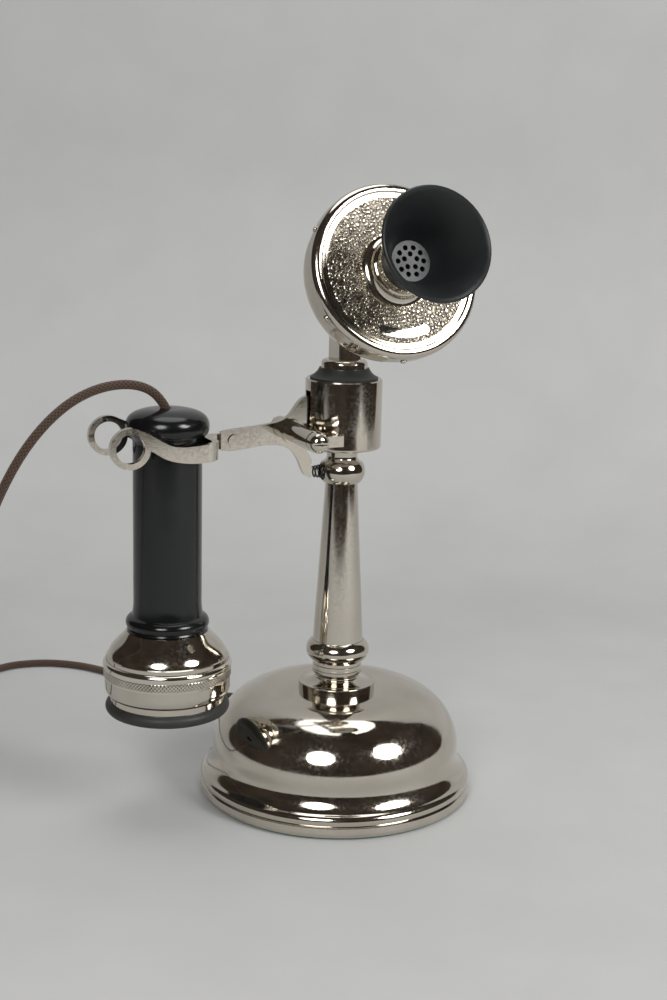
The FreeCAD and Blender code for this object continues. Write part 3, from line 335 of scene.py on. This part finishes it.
def arc_points(start, through, end):
    """Points on the arc from start through a middle point to an end, without the start."""
    ax, ay = start
    bx, by = through
    cx, cy = end
    start_square = ax * ax + ay * ay
    through_square = bx * bx + by * by
    end_square = cx * cx + cy * cy
    scale = 2 * (ax * (by - cy) + bx * (cy - ay) + cx * (ay - by))
    centre_x = (start_square * (by - cy) + through_square * (cy - ay) + end_square * (ay - by)) / scale
    centre_y = (start_square * (cx - bx) + through_square * (ax - cx) + end_square * (bx - ax)) / scale
    radius = math.hypot(ax - centre_x, ay - centre_y)
    first = math.atan2(ay - centre_y, ax - centre_x)
    middle = math.atan2(by - centre_y, bx - centre_x)
    last = math.atan2(cy - centre_y, cx - centre_x)
    full = 2 * math.pi
    sweep = (last - first) % full
    if (middle - first) % full > sweep:
        sweep -= full
    angles = [first + sweep * k / ARC_STEPS for k in range(1, ARC_STEPS + 1)]
    return [(centre_x + radius * math.cos(a), centre_y + radius * math.sin(a)) for a in angles]


def profile(start, *steps):
    """Points of an outline. Two numbers are a straight step, and four an arc through the first point."""
    points = [start]
    for step in steps:
        if len(step) == 4:
            points += arc_points(points[-1], step[:2], step[2:])
        else:
            points.append(step)
    return points


def finish_mesh(name, mesh, material, sharp=SHARP):
    """Makes a bmesh into a smooth-shaded object with hard edges kept."""
    data = bpy.data.meshes.new(name)
    mesh.to_mesh(data)
    mesh.free()
    data.polygons.foreach_set("use_smooth", [True] * len(data.polygons))
    piece = bpy.data.objects.new(name, data)
    bpy.context.scene.collection.objects.link(piece)
    piece.data.materials.append(material)
    split = piece.modifiers.new("hard_edges", "EDGE_SPLIT")
    split.split_angle = math.radians(sharp)
    return piece


def lathe(name, points, material, place=Matrix(), segments=LATHE_SEGMENTS, relief=None):
    """Spins a profile in millimetres about Z, raises its relief where it has one, and sets it in place."""
    mesh = bmesh.new()
    corners = [mesh.verts.new((r * MM, 0, z * MM)) for r, z in points]
    edges = [mesh.edges.new(pair) for pair in zip(corners, corners[1:])]
    bmesh.ops.spin(mesh, geom=corners + edges, cent=(0, 0, 0), axis=(0, 0, 1), angle=2 * math.pi,
                   steps=segments, use_merge=True)
    bmesh.ops.remove_doubles(mesh, verts=mesh.verts, dist=LATHE_MERGE * MM)
    bmesh.ops.recalc_face_normals(mesh, faces=mesh.faces)
    if relief:
        layer = mesh.verts.layers.float.new("relief")
        for corner in mesh.verts:
            corner[layer], corner.co = relief(corner.co / MM)
    bmesh.ops.transform(mesh, matrix=place, verts=mesh.verts)
    return finish_mesh(name, mesh, material, SHARP_RELIEF if relief else SHARP)


def spline_points(name, route):
    """Points along the smooth NURBS line whose control points are a route in millimetres."""
    curve = bpy.data.curves.new(name, "CURVE")
    curve.dimensions = "3D"
    curve.resolution_u = SPAN_STEPS
    spline = curve.splines.new("NURBS")
    spline.points.add(len(route) - 1)
    for point, place in zip(spline.points, route):
        point.co = (*(v * MM for v in place), 1.0)
    spline.order_u = 3
    spline.use_endpoint_u = True
    holder = bpy.data.objects.new(name, curve)
    bpy.context.scene.collection.objects.link(holder)
    line = bpy.data.meshes.new_from_object(holder)
    points = [v.co.copy() for v in line.vertices]
    bpy.data.objects.remove(holder)
    bpy.data.curves.remove(curve)
    bpy.data.meshes.remove(line)
    return points


def wire_tube(name, points, radius, material, sides=14):
    """Round tube along points in metres, with a map of turns round it and metres along it."""
    mesh = bmesh.new()
    layer = mesh.loops.layers.uv.new("braid")
    angles = [2 * math.pi * s / sides for s in range(sides)]
    aside = Vector((0, 1, 0))
    rings = []
    run = 0.0
    lengths = []
    for k, point in enumerate(points):
        before = points[max(k - 1, 0)]
        after = points[min(k + 1, len(points) - 1)]
        ahead = (after - before).normalized()
        aside = (aside - ahead * aside.dot(ahead)).normalized()
        up = ahead.cross(aside)
        run += (point - before).length
        lengths.append(run)
        spokes = [radius * (math.cos(a) * aside + math.sin(a) * up) for a in angles]
        rings.append([mesh.verts.new(point + spoke) for spoke in spokes])
    for k, (ring, following) in enumerate(zip(rings, rings[1:])):
        for s in range(sides):
            n = (s + 1) % sides
            face = mesh.faces.new((ring[s], ring[n], following[n], following[s]))
            marks = ((s, lengths[k]), (s + 1, lengths[k]), (s + 1, lengths[k + 1]), (s, lengths[k + 1]))
            for loop, (turn, along) in zip(face.loops, marks):
                loop[layer].uv = (turn / sides, along)
    mesh.faces.new(rings[0][::-1])
    mesh.faces.new(rings[-1])
    bmesh.ops.recalc_face_normals(mesh, faces=mesh.faces)
    return finish_mesh(name, mesh, material, SHARP_WIRE)


def receiver_cord():
    """The braided cord, a tube along a smooth line from the receiver down to the stand."""
    points = spline_points("cord_line", CORD_ROUTE)
    cord = wire_tube("cord", points, CORD_DIAMETER / 2 * MM, MATERIALS["braid"])
    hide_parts("receiver_cord")
    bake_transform(cord)


def hook_spring():
    """Cone-shaped coil of dark wire between the hook's lower arm and the pocket in the column's head."""
    small_end, large_end = -16.65, -9.1
    small_radius, large_radius = 2.4, 3.6
    wire_radius, wire_sides = 0.45, 10
    turns, steps_per_turn = 4.5, 28
    count = int(turns * steps_per_turn)
    points = []
    for k in range(count + 1):
        share = k / count
        reach = small_end + (large_end - small_end) * share
        radius = small_radius + (large_radius - small_radius) * share
        angle = 2 * math.pi * turns * share
        spot = Vector((reach, radius * math.cos(angle), SPRING_Z + radius * math.sin(angle)))
        points.append(spot * MM)
    spring = wire_tube("spring_wire", points, wire_radius * MM, MATERIALS["spring_steel"], wire_sides)
    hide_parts("hook_spring")
    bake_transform(spring)


def felt_foot():
    """Felt disc under the base with a slightly rounded edge."""
    bottom = FELT_RADIUS - 0.5
    top = FELT_RADIUS - 0.4
    edge = (FELT_RADIUS, FELT_THICK / 2, top, FELT_THICK)
    points = profile((0, 0), (bottom, 0), edge, (0, FELT_THICK))
    felt = lathe("felt_disc", points, MATERIALS["felt"])
    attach(felt, "stand")
    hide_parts("felt_pad")


def collar_ring():
    """Collar on top of the dome, turned finer than the solid so that its polish shows no flats."""
    bore, outer, neck = 6.1, 20.0, 11.8
    bottom, top = 55.2, 61.3
    rounded_edge = (19.85, 59.15, 19.5, 59.3)
    hollow_top = (14.5, 59.8, neck, top)
    points = profile((bore, bottom), (outer, bottom), (outer, 58.8), rounded_edge, hollow_top,
                     (bore, top), (bore, bottom))
    collar = lathe("collar_ring", points, MATERIALS["nickel"], segments=COLLAR_SEGMENTS)
    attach(collar, "stand")
    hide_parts("base_collar")


def pebbles(spot):
    """Relief of the cast face at a spot in millimetres: round pebbles between two smooth rings."""
    inner, outer = PEBBLED
    if spot.z < 0 or not inner < math.hypot(spot.x, spot.y) < outer:
        return 1.0, spot * MM
    cell = Vector((spot.x, spot.y, 0)) / PEBBLE_SIZE
    nearest, second = noise.voronoi(cell)[0][:2]
    height = math.sin(min(1.0, (second - nearest) / PEBBLE_SIDE) * math.pi / 2)
    return height, Vector((spot.x, spot.y, spot.z + PEBBLE_HEIGHT * height)) * MM


def pressed_face():
    """Cast front of the transmitter with its pebbled ring and two fine ridges at the edge."""
    bore, well, edge, flange = 11.8, 24.0, 37.3, 40.0
    front, ridge, groove, back, foot = 0.3, 0.9, 0.4, -1.6, -3.4
    inner, outer = PEBBLED
    rows = int((outer - inner) / PEBBLE_ROW)
    pebbled = [(inner + (outer - inner) * k / rows, front) for k in range(rows + 1)]
    ridges = [(34.7, front), (35.0, ridge), (35.7, ridge), (36.0, groove), (36.3, groove), (36.6, ridge)]
    behind = [(edge, ridge), (edge, back), (flange, back), (flange, foot), (well, foot), (well, back),
              (bore, back), (bore, front)]
    points = [(bore, front)] + pebbled + ridges + behind
    face = lathe("pressed_face", points, MATERIALS["pebbled"], transmitter_frame(), FACE_SEGMENTS, pebbles)
    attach(face, "transmitter")
    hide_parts("face_plate")


def milling(spot):
    """Relief of the clamp ring at a spot in millimetres from its axis: crossed ridges on the milled band."""
    low, high = MILLED
    if not low < spot.z < high:
        return 1.0, spot * MM
    angle = math.atan2(spot.y, spot.x) * MILLED_RIDGES
    slope = 2 * math.pi * spot.z / MILLED_PITCH
    height = max(0.0, math.sin(angle + slope), math.sin(angle - slope))
    grown = 1 + MILLED_HEIGHT * height / math.hypot(spot.x, spot.y)
    return height, Vector((spot.x * grown, spot.y * grown, spot.z)) * MM


def milled_ring():
    """Clamp ring that holds the receiver's cup, with a milled band for the fingers."""
    bore, recess = 28.6, 30.5
    bottom, ledge, top = 72.8, 78.8, 81.8
    low, high = MILLED
    band = [(MILLED_RADIUS, low + (high - low) * k / MILLED_ROWS) for k in range(MILLED_ROWS + 1)]
    bulge = (32.15, 80.0, 31.5, 81.4)
    points = profile((bore, bottom), (31.4, bottom), (MILLED_RADIUS, 73.3), *band, (MILLED_RADIUS, 77.6),
                     (31.8, 78.2), bulge, (recess, top), (recess, ledge), (bore, ledge), (bore, bottom))
    place = Matrix.Translation((RECEIVER_X * MM, 0, 0))
    segments = MILLED_RIDGES * SEGMENTS_PER_RIDGE
    ring = lathe("milled_ring", points, MATERIALS["milled"], place, segments, milling)
    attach(ring, "receiver")
    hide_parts("clamp_ring")


def polar(radius, degrees):
    """Point at a radius and an angle in a plane."""
    return Vector((radius * math.cos(math.radians(degrees)), radius * math.sin(math.radians(degrees))))


def bent_slot(inner, outer, half_angle):
    """Outline of a plate bent round the origin, centred below it, with round ends."""
    bend_steps, end_steps = 24, 10
    first, last = -90 - half_angle, -90 + half_angle
    middle, end = (inner + outer) / 2, (outer - inner) / 2
    bend = [2 * half_angle * k / bend_steps for k in range(bend_steps + 1)]
    turns = [180 * k / end_steps for k in range(1, end_steps)]
    outline = [polar(outer, first + angle) for angle in bend]
    outline += [polar(middle, last) + polar(end, last + turn) for turn in turns]
    outline += [polar(inner, last - angle) for angle in bend]
    outline += [polar(middle, first) + polar(end, first + 180 + turn) for turn in turns]
    return outline


def bare_plate():
    """Smooth raised plate, bent along the lower part of the transmitter's face and left bare."""
    foot, rise, rounding = 0.2, 0.95, 0.3
    outline = bent_slot(inner=27.6, outer=32.6, half_angle=21.0)
    mesh = bmesh.new()
    face = mesh.faces.new([mesh.verts.new((x * MM, y * MM, foot * MM)) for x, y in outline])
    raised = bmesh.ops.extrude_face_region(mesh, geom=[face])["geom"]
    tops = [v for v in raised if isinstance(v, bmesh.types.BMVert)]
    bmesh.ops.translate(mesh, verts=tops, vec=(0, 0, rise * MM))
    edges = [e for e in raised if isinstance(e, bmesh.types.BMEdge)]
    bmesh.ops.bevel(mesh, geom=edges, offset=rounding * MM, affect="EDGES", segments=3, profile=0.5,
                    material=-1)
    bmesh.ops.recalc_face_normals(mesh, faces=mesh.faces)
    bmesh.ops.transform(mesh, matrix=transmitter_frame(), verts=mesh.verts)
    plate = finish_mesh("bare_plate", mesh, MATERIALS["nickel"])
    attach(plate, "transmitter")


def dress_nodes():
    """Gives every CAD node that is kept its finish, merged corners and smooth shading between hard edges."""
    for node, piece in frame["nodes"].items():
        if node in REPLACED:
            continue
        slot = next(s["material_slot"] for s in frame["record"]["subparts"] if s["node"] == node)
        material = MATERIALS[NODE_FINISH.get(node, slot)]
        piece.data.materials.clear()
        piece.data.materials.append(material)
        piece.data.polygons.foreach_set("use_smooth", [True] * len(piece.data.polygons))
        weld = piece.modifiers.new("merged_corners", "WELD")
        weld.merge_threshold = NODE_MERGE * MM
        split = piece.modifiers.new("hard_edges", "EDGE_SPLIT")
        split.split_angle = math.radians(SHARP_NODE)


def paper():
    """Seamless paper, flat under the object and bent up behind it, square to the camera."""
    mesh = bmesh.new()
    bend = PAPER_BEND_MIDDLE + PAPER_BEND_END
    line = profile((PAPER_FRONT, 0), PAPER_BEND, bend, (PAPER_BEND_END[0], PAPER_TOP))
    corners = [mesh.verts.new((-PAPER_WIDTH / 2, y, z)) for y, z in line]
    edges = [mesh.edges.new(pair) for pair in zip(corners, corners[1:])]
    wide = bmesh.ops.extrude_edge_only(mesh, edges=edges)["geom"]
    far_side = [v for v in wide if isinstance(v, bmesh.types.BMVert)]
    bmesh.ops.translate(mesh, verts=far_side, vec=(PAPER_WIDTH, 0, 0))
    bmesh.ops.recalc_face_normals(mesh, faces=mesh.faces)
    if any(face.normal.z < -0.5 for face in mesh.faces):
        bmesh.ops.reverse_faces(mesh, faces=mesh.faces)
    turn = Matrix.Rotation(math.radians(CAMERA_TURN), 3, "Z")
    bmesh.ops.rotate(mesh, verts=mesh.verts, cent=(0, 0, 0), matrix=turn)
    sweep = finish_mesh("paper", mesh, MATERIALS["paper"], SHARP_PAPER)


def soft_lamps():
    """Two round soft lamps in front and one above, aimed at the middle of the telephone."""
    for name, place, power, size in LAMPS:
        lamp = bpy.data.lights.new(name, "AREA")
        lamp.shape = "DISK"
        lamp.size = size
        lamp.energy = power
        holder = bpy.data.objects.new(name, lamp)
        holder.location = place
        aim = Vector(LAMP_AIM) - Vector(place)
        holder.rotation_euler = aim.to_track_quat("-Z", "Y").to_euler()
        bpy.context.scene.collection.objects.link(holder)


def dark_room():
    """Pale, even light on matt surfaces, and a dim room for polished ones to mirror."""
    world = bpy.data.worlds.new("room")
    bpy.context.scene.world = world
    world.use_nodes = True
    tree = world.node_tree
    tree.nodes.clear()
    way = add(tree, "ShaderNodeTexCoord").outputs["Generated"]
    shapes = add(tree, "ShaderNodeTexNoise", {"Vector": way, "Scale": 2.6, "Detail": 3.0})
    path = add(tree, "ShaderNodeLightPath")
    colours = {
        "Factor": path.outputs["Is Glossy Ray"],
        MIX_FIRST: linear("#b4b5b4"),
        MIX_SECOND: ramp(tree, shapes.outputs["Fac"], "#0d0c0e", "#5a5048"),
    }
    mixed = add(tree, "ShaderNodeMix", colours, data_type="RGBA")
    back = add(tree, "ShaderNodeBackground", {"Color": mixed.outputs[MIX_RESULT], "Strength": 0.8})
    add(tree, "ShaderNodeOutputWorld", {"Surface": back.outputs["Background"]})


def photograph_camera():
    """Camera that sees the telephone as the photograph does."""
    data = bpy.data.cameras.new("camera")
    data.lens = LENS
    data.sensor_width = SENSOR
    camera = bpy.data.objects.new("camera", data)
    turn = Matrix.Rotation(math.radians(CAMERA_TURN), 4, "Z")
    pitch = Matrix.Rotation(math.radians(CAMERA_PITCH), 4, "X")
    roll = Matrix.Rotation(math.radians(CAMERA_ROLL), 4, "Z")
    camera.matrix_world = Matrix.Translation(Vector(CAMERA_PLACE) * MM) @ turn @ pitch @ roll
    bpy.context.scene.collection.objects.link(camera)
    bpy.context.scene.camera = camera


# Finishes by the record's material slots, and those that only the scene uses
MATERIALS = {
    "nickel": polished_nickel("polished_nickel"),
    # The first colour of the pebbled and milled nickel is painted shade in the hollows between pebbles and
    # between ridges
    "pebbled": worked_nickel("pebbled_nickel", "#2b2620", "#c2b9a9", smooth=0.22, dull=0.42),
    "milled": worked_nickel("milled_nickel", "#5b5449", "#dcd5c9", smooth=0.10, dull=0.28),
    "hard_rubber": moulded("hard_rubber", "#08090a", "#111314", smooth=0.12, dull=0.24),
    "horn_rubber": moulded("horn_rubber", "#161819", "#212425", smooth=0.38, dull=0.5),
    "composition": moulded("dull_composition", "#1d1d1b", "#2f2f2c", smooth=0.45, dull=0.6),
    "insulator": moulded("matte_fibre", "#1b1c19", "#2e302c", smooth=0.45, dull=0.6),
    "soft_rubber": moulded("soft_rubber", "#161616", "#232323", smooth=0.7, dull=0.85),
    "felt": wool_felt("wool_felt"),
    "braid": braided_cotton("braided_cotton"),
    "winding": moulded("silk_winding", "#173a24", "#2c5f3d", smooth=0.6, dull=0.8),
    "iron": plain_metal("cast_iron", "#2b2b2b", "#4a4a48", smooth=0.55, dull=0.75),
    "steel": plain_metal("satin_steel", "#6d6d6f", "#9a9a9c", smooth=0.3, dull=0.45),
    "spring_steel": plain_metal("spring_steel", "#3a3a3c", "#5c5a58", smooth=0.3, dull=0.45),
    "brass": plain_metal("satin_brass", "#8f6f38", "#c9a45c", smooth=0.25, dull=0.4),
    "aluminium": plain_metal("satin_aluminium", "#b3b5b8", "#d0d2d4", smooth=0.3, dull=0.4),
    "paper": paper_sweep("paper_sweep"),
}
NODE_FINISH = {"mouthpiece": "horn_rubber"}

# Nodes that the scene's own pieces stand for
REPLACED = ("receiver_cord", "hook_spring", "felt_pad", "base_collar", "face_plate", "clamp_ring")

bpy.context.scene.view_settings.view_transform = "Standard"
photograph_camera()
receiver_cord()
hook_spring()
felt_foot()
collar_ring()
pressed_face()
milled_ring()
bare_plate()
dress_nodes()
paper()
soft_lamps()
dark_room()
